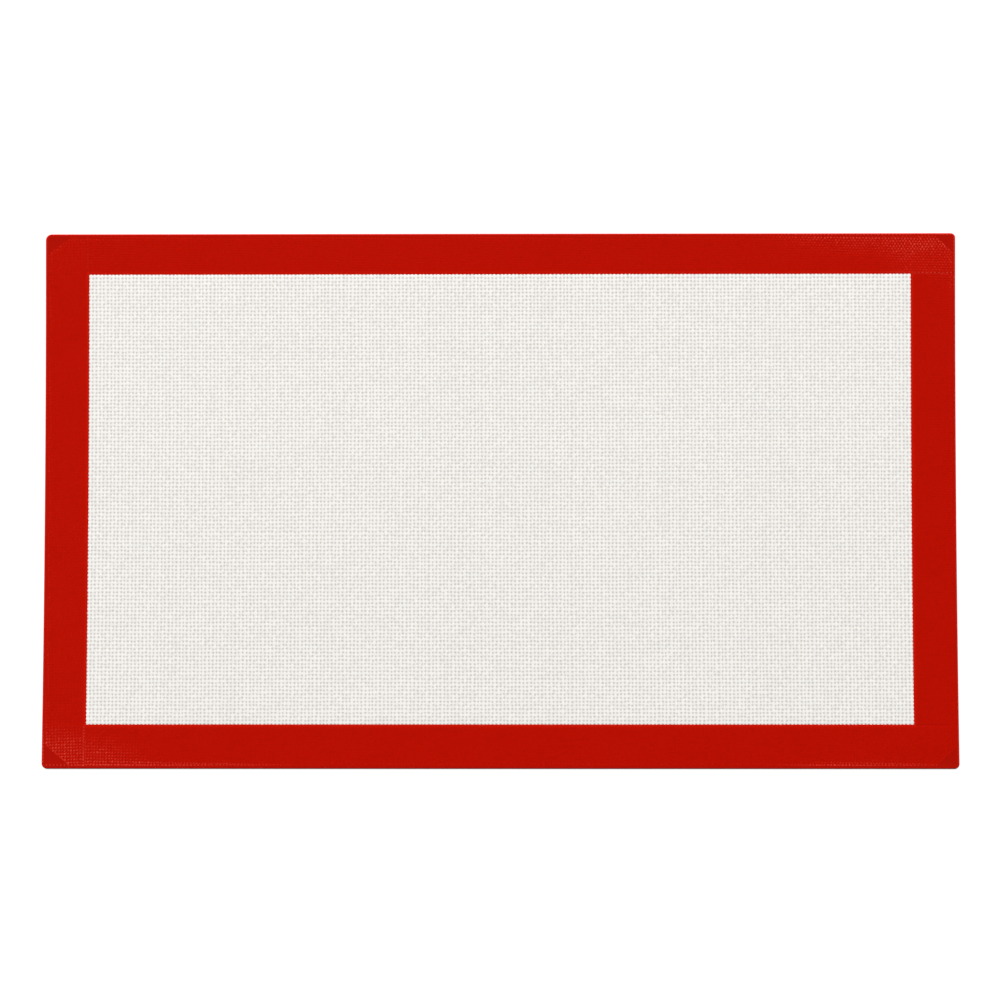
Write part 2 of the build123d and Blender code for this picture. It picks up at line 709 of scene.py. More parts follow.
@dataclass
class Graph:
    """Short ways to add nodes to a material, world or node group."""

    tree: bpy.types.NodeTree

    def add(self, kind: str, *inputs: object, **settings: object) -> bpy.types.Node:
        """Add a node.

        Args:
            kind: the node's type.
            inputs: values or sockets for its inputs, in order, None to leave one.
            settings: its properties, by name.

        Returns:
            The node.
        """
        node = self.tree.nodes.new(kind)
        for key, value in settings.items():
            setattr(node, key, value)
        for socket, value in zip(node.inputs, inputs):
            self.feed(socket, value)
        return node

    def feed(self, socket: Socket, value: object) -> None:
        """Set a socket to a value, or link it if the value is a socket."""
        if isinstance(value, Socket):
            self.tree.links.new(value, socket)
        elif value is not None:
            socket.default_value = value

    def math(self, operation: str, *inputs: object, clamp: bool = False) -> Socket:
        """Add a Math node and return its result."""
        return self.add("ShaderNodeMath", *inputs, operation=operation, use_clamp=clamp).outputs[0]

    def vector(self, operation: str, first: object, second: object) -> Socket:
        """Add a Vector Math node and return its result."""
        return self.add("ShaderNodeVectorMath", first, second, operation=operation).outputs[0]

    def step(self, value: object, low: object, high: object) -> Socket:
        """Add a smooth step from 0 at low to 1 at high, and return its result."""
        node = self.add("ShaderNodeMapRange", value, low, high, interpolation_type="SMOOTHSTEP")
        return node.outputs[0]

    def blend(self, share: object, first: object, second: object) -> Socket:
        """Add a mix of two values, with that share of the second, and return its result."""
        node = self.add("ShaderNodeMix", share, data_type="FLOAT")
        self.feed(node.inputs[2], first)
        self.feed(node.inputs[3], second)
        return node.outputs[0]

    def bump(self, height: object, distance: float, strength: float = 1.0) -> Socket:
        """Add a bump.

        Args:
            height: the relief, where 1 stands up by the distance.
            distance: how far that is.
            strength: the share of the bump that shows.

        Returns:
            The new normal.
        """
        node = self.add("ShaderNodeBump")
        node.inputs["Strength"].default_value = strength
        node.inputs["Distance"].default_value = distance
        self.feed(node.inputs["Height"], height)
        return node.outputs[0]

    def mix(self, share: object, first: object, second: object) -> Socket:
        """Add a colour mix.

        Args:
            share: how much of the second colour.
            first: a colour or socket.
            second: a colour or socket.

        Returns:
            The mixed colour.
        """
        node = self.tree.nodes.new("ShaderNodeMix")
        node.data_type = "RGBA"
        for name, value in (("Factor_Float", share), ("A_Color", first), ("B_Color", second)):
            if isinstance(value, tuple) and len(value) == 3:
                value = (*value, 1.0)
            self.feed(next(s for s in node.inputs if s.identifier == name), value)
        return next(s for s in node.outputs if s.identifier == "Result_Color")

    def draw(self, numbers: list[Socket], layer: float) -> bpy.types.NodeOutputs:
        """Add a random draw for each pair of whole numbers, and return its outputs."""
        cell = self.add("ShaderNodeCombineXYZ", *numbers, layer)
        noise = self.add("ShaderNodeTexWhiteNoise", cell.outputs[0], noise_dimensions="3D")
        return noise.outputs

    def group(self, tree: bpy.types.NodeTree, **inputs: object) -> bpy.types.Node:
        """Place a node group.

        Args:
            tree: the group.
            inputs: values or sockets by name, where an underscore stands for a space.

        Returns:
            The group's node.
        """
        node = self.tree.nodes.new("ShaderNodeGroup")
        node.node_tree = tree
        for name, value in inputs.items():
            self.feed(node.inputs[name.replace("_", " ").title()], value)
        return node


def new_group(
    name: str, inputs: Iterable[tuple[str, str]], outputs: Iterable[tuple[str, str]]
) -> tuple[Graph, bpy.types.Node, bpy.types.Node]:
    """Start a shader node group with named sockets.

    Args:
        name: the group's name.
        inputs: name and socket type of each input.
        outputs: name and socket type of each output.

    Returns:
        The group's graph, its input node and its output node.
    """
    tree = bpy.data.node_groups.new(name, "ShaderNodeTree")
    for label, kind in inputs:
        tree.interface.new_socket(name=label, in_out="INPUT", socket_type=kind)
    for label, kind in outputs:
        tree.interface.new_socket(name=label, in_out="OUTPUT", socket_type=kind)
    graph = Graph(tree)
    return graph, graph.add("NodeGroupInput"), graph.add("NodeGroupOutput")


@dataclass(frozen=True)
class WeaveEffect:
    """The plain weave of the cloth as a node group. Its sizes are shares of one mesh."""

    off_centre: float = 0.2
    size_swing: float = 0.06
    yarn_reach: float = 0.42
    arch: float = 0.6
    fibres: float = 9.0
    fibre_height: float = 0.06

    def build(self) -> bpy.types.NodeTree:
        """Make the group, which works from the weave numbers that each mesh holds.

        Returns:
            A group with a mask of the openings, the height of the yarns, a tone for each yarn and a
            chance for each crossing.
        """
        graph, given, out = new_group(
            "Plain weave",
            (("Place", "NodeSocketVector"), ("Opening", VALUE), ("Softness", VALUE)),
            [(label, VALUE) for label in ("Opening", "Height", "Tone", "Chance")],
        )
        place = graph.add("ShaderNodeSeparateXYZ", given.outputs["Place"])
        numbers = [place.outputs[0], place.outputs[1]]
        floors = [graph.math("FLOOR", number) for number in numbers]
        graph.feed(out.inputs["Opening"], self._opening(graph, given, numbers))
        graph.feed(out.inputs["Height"], self._height(graph, numbers, floors))
        tones = []
        for floor in floors:
            yarn = graph.add("ShaderNodeTexWhiteNoise", noise_dimensions="1D")
            graph.feed(yarn.inputs["W"], floor)
            tones.append(yarn.outputs["Value"])
        graph.feed(out.inputs["Tone"], graph.math("MULTIPLY", graph.math("ADD", *tones), 0.5))
        graph.feed(out.inputs["Chance"], graph.draw(floors, CROSSING_DRAW)["Value"])
        return graph.tree

    def _opening(self, graph: Graph, given: bpy.types.Node, numbers: list[Socket]) -> Socket:
        """Mask of the openings, each a little off its place and of its own size.

        Args:
            graph: the group's graph.
            given: the group's inputs.
            numbers: the weave numbers along and across the mat.

        Returns:
            The mask, 1 in an opening.
        """
        nearest = [graph.math("ROUND", number) for number in numbers]
        cell = graph.draw(nearest, OPENING_DRAW)
        draws = graph.add("ShaderNodeSeparateColor", cell["Color"]).outputs
        squares = []
        for number, near, draw in zip(numbers, nearest, draws):
            jitter = graph.math("MULTIPLY", graph.math("SUBTRACT", draw, 0.5), self.off_centre)
            away = graph.math("ADD", graph.math("SUBTRACT", number, near), jitter)
            squares.append(graph.math("POWER", graph.math("ABSOLUTE", away), 2.0))
        reach = graph.math("SQRT", graph.math("ADD", *squares))
        swing = graph.math("MULTIPLY", graph.math("SUBTRACT", draws[2], 0.5), self.size_swing)
        size = graph.math("ADD", given.outputs["Opening"], swing)
        inner = graph.math("SUBTRACT", size, given.outputs["Softness"])
        outer = graph.math("ADD", size, given.outputs["Softness"])
        return graph.math("SUBTRACT", 1.0, graph.step(reach, inner, outer))

    def _height(self, graph: Graph, numbers: list[Socket], floors: list[Socket]) -> Socket:
        """Height of the yarn on top: round across, arched along, and with fine fibres.

        Args:
            graph: the group's graph.
            numbers: the weave numbers along and across the mat.
            floors: the same numbers rounded down.

        Returns:
            The height, up to about 1.
        """
        parity = graph.math("FLOORED_MODULO", graph.math("ADD", *floors), 2.0)
        u, v = (
            graph.math("SUBTRACT", graph.math("SUBTRACT", number, floor), 0.5)
            for number, floor in zip(numbers, floors)
        )
        across, along = graph.blend(parity, u, v), graph.blend(parity, v, u)
        side = graph.math("ABSOLUTE", graph.math("DIVIDE", across, self.yarn_reach))
        crown = graph.math("SUBTRACT", 1.0, graph.math("POWER", side, 2.0), clamp=True)
        arch = graph.math("COSINE", graph.math("MULTIPLY", along, math.pi))
        arch = graph.math("MULTIPLY_ADD", arch, self.arch, 1.0 - self.arch)
        body = graph.math("MULTIPLY", crown, arch)
        fibres = graph.math("SINE", graph.math("MULTIPLY", across, math.tau * self.fibres))
        fine = graph.math("MULTIPLY", graph.math("MULTIPLY", fibres, self.fibre_height), body)
        return graph.math("ADD", body, fine)


@dataclass(frozen=True)
class CastEffect:
    """The surface that cast silicone has, as a node group: slow clouds of colour, and a fine grain."""

    cloud_detail: float = 3.0
    grain_detail: float = 2.0

    def build(self) -> bpy.types.NodeTree:
        """Make the group.

        Returns:
            A group with the clouds and the grain, each from 0 to 1.
        """
        graph, given, out = new_group(
            "Cast silicone",
            (("Cloud Scale", VALUE), ("Grain Scale", VALUE)),
            (("Clouds", VALUE), ("Grain", VALUE)),
        )
        at = graph.add("ShaderNodeTexCoord").outputs["Object"]
        for label, source, detail in (
            ("Clouds", "Cloud Scale", self.cloud_detail),
            ("Grain", "Grain Scale", self.grain_detail),
        ):
            noise = graph.add("ShaderNodeTexNoise", at)
            graph.feed(noise.inputs["Scale"], given.outputs[source])
            graph.feed(noise.inputs["Detail"], detail)
            graph.feed(out.inputs[label], noise.outputs[0])
        return graph.tree


@dataclass(frozen=True)
class Effects:
    """The node groups that the finishes share."""

    weave: bpy.types.NodeTree
    cast: bpy.types.NodeTree


def new_material(name: str) -> tuple[bpy.types.Material, Graph, bpy.types.Node]:
    """Start a material with a Principled shader.

    Args:
        name: the material's name.

    Returns:
        The material, its graph and the shader node.
    """
    material = bpy.data.materials.new(name)
    material.use_nodes = True
    graph = Graph(material.node_tree)
    return material, graph, material.node_tree.nodes["Principled BSDF"]


@dataclass(frozen=True)
class CoatedWeaveFinish:
    """Clear silicone over white glass yarn, with painted light in its colour.

    The crowns of the yarns and random crossings are painted lighter as highlights and glints, and the
    openings grey as the shade beneath the mat seen through them.
    """

    flank: Colour = (0.82, 0.796, 0.776)
    # Painted highlight: the colour of the yarn crowns
    crown: Colour = (0.935, 0.912, 0.877)
    # Painted shade: the openings, as the shade under the mat seen through them
    opening_shade: Colour = (0.615, 0.58, 0.537)
    opening: float = 0.25
    softness: float = 0.2
    cloud_scale: float = 26.0
    grain_scale: float = 2600.0
    base_tone: float = -0.15
    cloud_tone: float = 0.2
    yarn_tone: float = 0.25
    crossing_glint: float = 0.55
    crown_highlight: float = 0.7
    roughness: float = 0.4
    grain_roughness: float = 0.12
    ior: float = 1.41
    bump: float = 0.045 * MM
    bump_strength: float = 0.6

    def build(self, effects: Effects) -> bpy.types.Material:
        """Make the material.

        Args:
            effects: the shared node groups.

        Returns:
            The material.
        """
        material, graph, shader = new_material("coated_weave")
        place = graph.add("ShaderNodeAttribute", attribute_name=PLACE).outputs["Vector"]
        weave = graph.group(
            effects.weave, place=place, opening=self.opening, softness=self.softness
        ).outputs
        cast = graph.group(
            effects.cast, cloud_scale=self.cloud_scale, grain_scale=self.grain_scale
        ).outputs
        tone = graph.math("MULTIPLY_ADD", cast["Clouds"], self.cloud_tone, self.base_tone)
        tone = graph.math("MULTIPLY_ADD", weave["Tone"], self.yarn_tone, tone)
        # Painted glints on random crossings
        tone = graph.math("MULTIPLY_ADD", weave["Chance"], self.crossing_glint, tone)
        # Painted highlight: the crowns lighter than the flanks
        tone = graph.math("MULTIPLY_ADD", weave["Height"], self.crown_highlight, tone, clamp=True)
        white = graph.mix(tone, self.flank, self.crown)
        # Painted shade in the openings of the mesh
        colour = graph.mix(weave["Opening"], white, self.opening_shade)
        least = self.roughness - self.grain_roughness / 2
        rough = graph.math("MULTIPLY_ADD", cast["Grain"], self.grain_roughness, least)
        graph.feed(shader.inputs["Base Color"], colour)
        graph.feed(shader.inputs["Roughness"], rough)
        shader.inputs["IOR"].default_value = self.ior
        normal = graph.bump(weave["Height"], self.bump, self.bump_strength)
        graph.feed(shader.inputs["Normal"], normal)
        return material


@dataclass(frozen=True)
class RedSiliconeFinish:
    """Coloured silicone: brighter on the dots of its print, painted lighter at the edges as light that
    they catch, and satin.

    Where the print is bold the cover is so thin on the dots that they turn pale, and the pale dots and
    nubs are also painted glints. It is deeper in the dips and where no cloth lies beneath.
    """

    dot_red: Colour = (0.572, 0.0058, 0.0007)
    dip_red: Colour = (0.366, 0.0036, 0.0004)
    clip_red: Colour = (0.42, 0.0052, 0.0014)
    # Painted light: the red of the lit edges
    lit_edge_red: Colour = (0.58, 0.0082, 0.002)
    # Pale red of thin cover and of painted glints
    thin_and_glint_red: Colour = (0.74, 0.068, 0.038)
    full_tone: float = 0.85
    thin_and_glint_share: float = 0.42
    bold_lift: float = 0.07
    mottling: float = 0.55
    rows_faint: float = 0.8
    rows_bold: float = 0.35
    sway: float = 1.2
    sway_scale: float = 900.0
    sway_detail: float = 1.0
    cloud_scale: float = 45.0
    grain_scale: float = 3200.0
    clouds: float = 0.12
    tone_reach: float = 0.5
    clip_end: float = 0.15
    dot_least: float = 0.6
    dot_range: float = 0.8
    pale_least: float = 0.55
    pale_range: float = 0.9
    pale_wave: Point = (0.7, 0.3)
    pale_sharpness: float = 2.0
    pale_onset: float = 3.0
    roughness: float = 0.2
    cloud_roughness: float = 0.06
    ior: float = 1.41
    specular: float = 0.32
    full_print: float = 0.03 * MM
    grain_height: float = 0.05

    def _wave(self, graph: Graph, place: list[Socket]) -> Socket:
        """Level of the print: mostly rows where it is faint, and staggered spots where it is bold.

        Args:
            graph: the material's graph.
            place: the print's numbers along and across its rows, and its strength.

        Returns:
            The level, from 1 on a dot to below 0 in a dip.
        """
        waves = [graph.math("COSINE", graph.math("MULTIPLY", n, math.pi)) for n in place[:2]]
        spots = graph.math("MULTIPLY", *waves)
        rows = graph.math("COSINE", graph.math("MULTIPLY", place[1], math.tau))
        more = self.rows_bold - self.rows_faint
        in_rows = graph.math("MULTIPLY_ADD", place[2], more, self.rows_faint, clamp=True)
        return graph.math("MULTIPLY_ADD", graph.math("SUBTRACT", rows, spots), in_rows, spots)

    def _pale(self, graph: Graph, wave: Socket, strength: Socket, chance: Socket) -> Socket:
        """How pale the dots are, as thin cover and as painted glints: each to its own share, and only
        where the print is bold.

        Args:
            graph: the material's graph.
            wave: level of the print.
            strength: how bold it is.
            chance: a draw for each dot.

        Returns:
            The share of the pale colour.
        """
        dot = graph.math("MAXIMUM", graph.math("MULTIPLY_ADD", wave, *self.pale_wave), 0.0)
        dot = graph.math("POWER", dot, self.pale_sharpness)
        onset = graph.math("POWER", graph.math("MAXIMUM", strength, 0.0), self.pale_onset)
        own = graph.math("MULTIPLY_ADD", chance, self.pale_range, self.pale_least)
        return graph.math("MULTIPLY", graph.math("MULTIPLY", dot, onset), own)

    def build(self, effects: Effects) -> bpy.types.Material:
        """Make the material.

        Args:
            effects: the shared node groups.

        Returns:
            The material.
        """
        material, graph, shader = new_material("red_silicone")
        place, glow, thin = (
            graph.add("ShaderNodeAttribute", attribute_name=name).outputs[kind]
            for name, kind in ((PLACE, "Vector"), (PAINTED_EDGE_LIGHT, "Fac"), (THIN_AND_GLINT, "Fac"))
        )
        noise = graph.add("ShaderNodeTexNoise", graph.add("ShaderNodeTexCoord").outputs["Object"])
        noise.inputs["Scale"].default_value = self.sway_scale
        noise.inputs["Detail"].default_value = self.sway_detail
        sway = graph.vector("SUBTRACT", noise.outputs["Color"], (0.5, 0.5, 0.5))
        sway = graph.vector("MULTIPLY", sway, (self.sway, self.sway, 0.0))
        parts = graph.add("ShaderNodeSeparateXYZ", graph.vector("ADD", place, sway)).outputs
        wave, strength = self._wave(graph, parts), parts[2]
        nearest = [graph.math("ROUND", number) for number in parts[:2]]
        chance = graph.draw(nearest, OPENING_DRAW)["Value"]
        own = graph.math("MULTIPLY_ADD", chance, self.dot_range, self.dot_least)
        cast = graph.group(
            effects.cast, cloud_scale=self.cloud_scale, grain_scale=self.grain_scale
        ).outputs
        drift = graph.math("SUBTRACT", cast["Clouds"], 0.5)

        most = graph.math("MINIMUM", strength, self.full_tone)
        toned = graph.math("MULTIPLY", graph.math("MULTIPLY", wave, most), own)
        share = graph.math("MULTIPLY_ADD", most, self.bold_lift, 0.5)
        share = graph.math("MULTIPLY_ADD", toned, self.tone_reach, share)
        mottle = graph.math("SUBTRACT", noise.outputs[0], 0.5)
        share = graph.math("MULTIPLY_ADD", mottle, self.mottling, share)
        share = graph.math("MULTIPLY_ADD", drift, self.clouds, share, clamp=True)
        body = graph.mix(share, self.dip_red, self.dot_red)
        body = graph.mix(graph.step(strength, 0.0, self.clip_end), self.clip_red, body)
        # Painted light: lighter red at the rim and near the window, and the front bevel left dark as shade
        body = graph.mix(glow, body, self.lit_edge_red)
        # Pale dots and nubs: partly thin cover, partly painted glints in place of gloss
        pale = self._pale(graph, wave, strength, chance)
        pale = graph.math("MULTIPLY_ADD", pale, self.thin_and_glint_share, thin, clamp=True)
        graph.feed(shader.inputs["Base Color"], graph.mix(pale, body, self.thin_and_glint_red))

        rough = graph.math("MULTIPLY_ADD", drift, self.cloud_roughness, self.roughness)
        graph.feed(shader.inputs["Roughness"], rough)
        shader.inputs["IOR"].default_value = self.ior
        shader.inputs["Specular IOR Level"].default_value = self.specular
        printed = graph.math("MULTIPLY", graph.math("MULTIPLY", wave, strength), own)
        relief = graph.math("MULTIPLY_ADD", cast["Grain"], self.grain_height, printed)
        graph.feed(shader.inputs["Normal"], graph.bump(relief, self.full_print))
        return material


@dataclass(frozen=True)
class GlassYarnFinish:
    """Bare woven glass: bright fibres with a soft sheen, and dark mesh openings."""

    yarn: Colour = (0.88, 0.87, 0.85)
    shadow: Colour = (0.35, 0.34, 0.33)
    opening: float = 0.2
    softness: float = 0.05
    roughness: float = 0.55
    bump: float = 0.08 * MM

    def build(self, effects: Effects) -> bpy.types.Material:
        """Make the material.

        Args:
            effects: the shared node groups.

        Returns:
            The material.
        """
        material, graph, shader = new_material("glass_yarn")
        place = graph.add("ShaderNodeAttribute", attribute_name=PLACE).outputs["Vector"]
        weave = graph.group(
            effects.weave, place=place, opening=self.opening, softness=self.softness
        ).outputs
        fibre = graph.mix(weave["Height"], self.shadow, self.yarn)
        graph.feed(shader.inputs["Base Color"], graph.mix(weave["Opening"], fibre, self.shadow))
        shader.inputs["Roughness"].default_value = self.roughness
        graph.feed(shader.inputs["Normal"], graph.bump(weave["Height"], self.bump))
        return material


@dataclass(frozen=True)
class PressedPatch:
    """A patch of one strip where the press has printed its cloth more strongly."""

    side: Side
    centre: Point
    reach: Point
    strength: float
    core: float = 0.3

    def share(self, x: Array, y: Array) -> Array:
        """Strength of the patch at each place, which fades to nothing at its reach."""
        away = np.hypot((x - self.centre[0]) / self.reach[0], (y - self.centre[1]) / self.reach[1])
        return self.strength * (1.0 - smooth_step(away, self.core, 1.0))


UPPER_PATCHES = (
    PressedPatch(Side.BACK, (0.214, 0.153), (0.082, 0.019), 0.7),
    PressedPatch(Side.BACK, (0.242, 0.136), (0.031, 0.022), 0.5),
    PressedPatch(Side.RIGHT, (0.262, 0.13), (0.022, 0.014), 0.4),
    PressedPatch(Side.LEFT, (-0.249, -0.146), (0.032, 0.023), 0.7),
    PressedPatch(Side.FRONT, (-0.236, -0.15), (0.052, 0.024), 0.75),
    PressedPatch(Side.FRONT, (-0.205, -0.1503), (0.1, 0.0035), 0.5),
    PressedPatch(Side.FRONT, (0.2, -0.1503), (0.05, 0.0035), 0.35),
    PressedPatch(Side.FRONT, (0.218, -0.153), (0.058, 0.012), 0.2),
    PressedPatch(Side.LEFT, (-0.252, 0.15), (0.045, 0.03), 0.12),
    PressedPatch(Side.BACK, (-0.24, 0.15), (0.045, 0.03), 0.15),
)


@dataclass(frozen=True)
class PressCloth:
    """The cloth that the press has printed into one strip."""

    turn: float
    pitch_x: float
    pitch_y: float
    faint_print: float


PRESS_CLOTHS = {
    Side.LEFT: PressCloth(math.radians(47.0), 1.21 * MM, 1.21 * MM, 0.4),
    Side.RIGHT: PressCloth(math.radians(-1.5), 0.915 * MM, 1.47 * MM, 0.2),
    Side.BACK: PressCloth(math.radians(-0.9), 0.915 * MM, 1.47 * MM, 0.25),
    Side.FRONT: PressCloth(math.radians(44.0), 1.21 * MM, 1.21 * MM, 0.25),
}


@dataclass(frozen=True)
class BorderStrip:
    """One strip of the edging, on one face of the mat, with its half-lapped ends."""

    layout: MatLayout
    lattice: WeaveLattice
    side: Side
    face: Face
    patches: tuple[PressedPatch, ...] = UPPER_PATCHES
    cut_print: float = 0.3
    cut_reach: float = 1.6 * MM
    relief: float = 0.065 * MM
    lap_rise: float = 0.02 * MM
    most_print: float = 1.2
    groove_depth: float = 0.03 * MM
    bead_height: float = 0.015 * MM
    bead_width: float = 1.3 * MM
    edge_width: float = 0.38 * MM
    edge_depth: float = 0.34 * MM
    edge_bend: float = 1.05
    front_edge_width: float = 0.6 * MM
    front_reach: float = 3.0 * MM
    # Painted light at the rim, near the window and back from the front edge; near the window it is partly
    # the cloth showing through the thinner cover
    painted_rim_light: tuple[float, float] = (0.6 * MM, 1.2 * MM)
    window_painted_light: tuple[float, float] = (0.6 * MM, 2.2 * MM)
    window_painted_light_share: float = 0.75
    front_painted_light_start: float = 1.4
    seam_width: float = 0.16 * MM
    seam_depth: float = 0.05 * MM
    window_width: float = 0.3 * MM
    window_depth: float = 0.06 * MM
    nub_height: float = 0.06 * MM
    nub_radius: float = 0.46 * MM
    nub_inset: float = 0.47 * MM
    front_left_nub_inset: float = 0.8 * MM
    nub_pitch_along: float = 2.4 * MM
    nub_pitch_across: float = 1.72 * MM
    nub_spread: tuple[float, float] = (0.7, 1.2)
    nub_seed: int = 3
    seam_nubs: tuple[float, float, float] = (0.2, 1.0, 0.95)
    clip_nub_share: float = 0.7
    rim_nub_share: float = 2.0
    rim_nub_inset: float = 0.78 * MM
    front_nub_inset: float = 2.2 * MM
    rim_nub_pitch: float = 2.05 * MM
    least_nub: float = 0.08
    nub_sides: int = 6
    nub_rings: tuple[float, ...] = (0.0, 0.5, 1.0)
    nub_room: float = 1.1
    free_room: float = 1.5
    least_cover: float = 0.005 * MM
    step: float = 0.01 * MM
    spacing: float = 1.0 * MM
    clear: float = 0.3 * MM
    edge_insets: tuple[float, ...] = (
        0.02 * MM, 0.1 * MM, 0.2 * MM, 0.3 * MM, 0.38 * MM, 0.5 * MM, 0.62 * MM, 0.9 * MM, 1.3 * MM
    )

    @property
    def name(self) -> str:
        """The node that this strip stands for."""
        return f"{self.face.value}_border_{self.side.value}"

    def seams(self) -> dict[str, float]:
        """Where the strips on top end at the four corners.

        Returns:
            By corner, the x of each seam at the left and the y of each at the right.
        """
        lay = self.layout
        return {
            "back_left": lay.window_left - lay.setback_back_left,
            "front_left": lay.window_left - lay.setback_front_left,
            "back_right": lay.window_back + lay.setback_back_right,
            "front_right": lay.window_front - lay.setback_front_right,
        }

    def areas(self) -> list[tuple[float, float, float, float]]:
        """Rectangles that make up the strip from above.

        Returns:
            The x from and to, and the y from and to, of each.
        """
        lay, seam = self.layout, self.seams()
        left, right, front, back = lay.left, lay.right, lay.front, lay.back
        if self.side is Side.LEFT:
            return [
                (left, lay.window_left, lay.window_front, lay.window_back),
                (left, seam["back_left"], lay.window_back, back),
                (left, seam["front_left"], front, lay.window_front),
            ]
        if self.side is Side.BACK:
            return [
                (left, lay.window_right, lay.window_back, back),
                (lay.window_right, right, seam["back_right"], back),
            ]
        if self.side is Side.FRONT:
            return [
                (left, lay.window_right, front, lay.window_front),
                (lay.window_right, right, front, seam["front_right"]),
            ]
        return [(lay.window_right, right, front, back)]

    def corners(self) -> list[Point]:
        """Corners of the strip from above, before the mat's corners are rounded.

        Returns:
            The corners, anticlockwise.
        """
        lay, seam = self.layout, self.seams()
        if self.side is Side.LEFT:
            return [
                (lay.left, lay.front),
                (seam["front_left"], lay.front),
                (seam["front_left"], lay.window_front),
                (lay.window_left, lay.window_front),
                (lay.window_left, lay.window_back),
                (seam["back_left"], lay.window_back),
                (seam["back_left"], lay.back),
                (lay.left, lay.back),
            ]
        if self.side is Side.BACK:
            return [
                (lay.left, lay.window_back),
                (lay.window_left, lay.window_back),
                (lay.window_right, lay.window_back),
                (lay.window_right, seam["back_right"]),
                (lay.right, seam["back_right"]),
                (lay.right, lay.back),
                (lay.left, lay.back),
            ]
        if self.side is Side.FRONT:
            return [
                (lay.left, lay.front),
                (lay.right, lay.front),
                (lay.right, seam["front_right"]),
                (lay.window_right, seam["front_right"]),
                (lay.window_right, lay.window_front),
                (lay.window_left, lay.window_front),
                (lay.left, lay.window_front),
            ]
        return [
            (lay.window_right, lay.front),
            (lay.right, lay.front),
            (lay.right, lay.back),
            (lay.window_right, lay.back),
            (lay.window_right, lay.window_back),
            (lay.window_right, lay.window_front),
        ]

    def outline(self) -> list[Point]:
        """The strip's outline: rounded at the mat's corners and wavy along the window.

        Returns:
            Its points, anticlockwise.
        """
        lay = self.layout
        window = {lay.window_left, lay.window_right}, {lay.window_front, lay.window_back}
        arcs: dict[Point, list[Point]] = {}
        rounded, count = lay.rounded_outline(), lay.corner_steps + 1
        ends = ((lay.right, lay.front), (lay.right, lay.back), (lay.left, lay.back), (lay.left, lay.front))
        for index, corner in enumerate(ends):
            arcs[corner] = rounded[index * count : (index + 1) * count]
        corners = self.corners()
        points: list[Point] = []
        for here, after in zip(corners, corners[1:] + corners[:1]):
            start = arcs[here][-1] if here in arcs else here
            end = arcs[after][0] if after in arcs else after
            points += arcs[here][:-1] if here in arcs else []
            if all(x in window[0] and y in window[1] for x, y in (here, after)):
                run = self.lattice.window_side(self.side)
                if math.dist(run[0], here) > math.dist(run[-1], here):
                    run = run[::-1]
                points += run[:-1]
                continue
            points += divide(start, end, self.spacing)[:-1]
        return points

    def within(self, x: Array, y: Array, margin: float) -> Array:
        """True where a place lies in the strip, with that much of it on every side.

        Args:
            x: places along the mat.
            y: places across it.
            margin: the least distance from the strip's outline.

        Returns:
            A flag for each place.
        """
        inside = self.layout.edge_distance(x, y) > margin
        for dx in (-margin, margin):
            for dy in (-margin, margin):
                held = [
                    (x + dx >= x0) & (x + dx <= x1) & (y + dy >= y0) & (y + dy <= y1)
                    for x0, x1, y0, y1 in self.areas()
                ]
                inside &= np.any(held, axis=0)
        return inside

    def raised(self, x: Array, y: Array) -> Array:
        """How far a place lies in a corner where this strip lies on another, from 0 to 1.

        Args:
            x: places along the mat.
            y: places across it.

        Returns:
            The share at each place, which rises over the edge of the strip beneath.
        """
        lay = self.layout
        if self.side is Side.LEFT:
            past = np.maximum(y - lay.window_back, lay.window_front - y)
        elif self.side is Side.RIGHT:
            past = np.full_like(x, -1.0)
        else:
            past = x - lay.window_right
        return smooth_step(past, 0.0, self.clear)

    def covered(self, x: Array, y: Array) -> Array:
        """True where the end of this strip lies beneath another.

        Args:
            x: places along the mat.
            y: places across it.

        Returns:
            A flag for each place.
        """
        seam, slack = self.seams(), self.step / 2
        if self.side is Side.BACK:
            return x < seam["back_left"] - slack
        if self.side is Side.FRONT:
            return x < seam["front_left"] - slack
        if self.side is Side.RIGHT:
            return (y > seam["back_right"] + slack) | (y < seam["front_right"] - slack)
        return np.zeros_like(x, bool)

    def seam_distance(self, x: Array, y: Array) -> Array:
        """Distance from the nearest seam that ends this strip's open face, within its corner.

        Args:
            x: places along the mat.
            y: places across it.

        Returns:
            The distance at each place, and a large one where there is no seam.
        """
        lay, seam = self.layout, self.seams()
        far = np.ones_like(x)
        at_back, at_front = y > lay.window_back, y < lay.window_front
        at_right = x > lay.window_right
        if self.side is Side.LEFT:
            back = np.where(at_back, np.abs(x - seam["back_left"]), far)
            return np.minimum(back, np.where(at_front, np.abs(x - seam["front_left"]), far))
        if self.side is Side.RIGHT:
            back, front = np.abs(y - seam["back_right"]), np.abs(y - seam["front_right"])
            return np.minimum(back, front)
        key = self.side.value
        left = np.abs(x - seam[f"{key}_left"])
        return np.minimum(left, np.where(at_right, np.abs(y - seam[f"{key}_right"]), far))

    def window_distance(self, x: Array, y: Array) -> Array:
        """Distance from the window, past the waves of the edging's inner edge."""
        lay = self.layout
        past_x = np.maximum(lay.window_left - x, x - lay.window_right)
        past_y = np.maximum(lay.window_front - y, y - lay.window_back)
        return np.maximum(past_x, past_y)

    @cached_property
    def pressed(self) -> PressedPrint:
        """The print of the press cloth in this strip."""
        cloth = PRESS_CLOTHS[self.side]
        return PressedPrint(self.layout, cloth.turn, cloth.pitch_x, cloth.pitch_y)

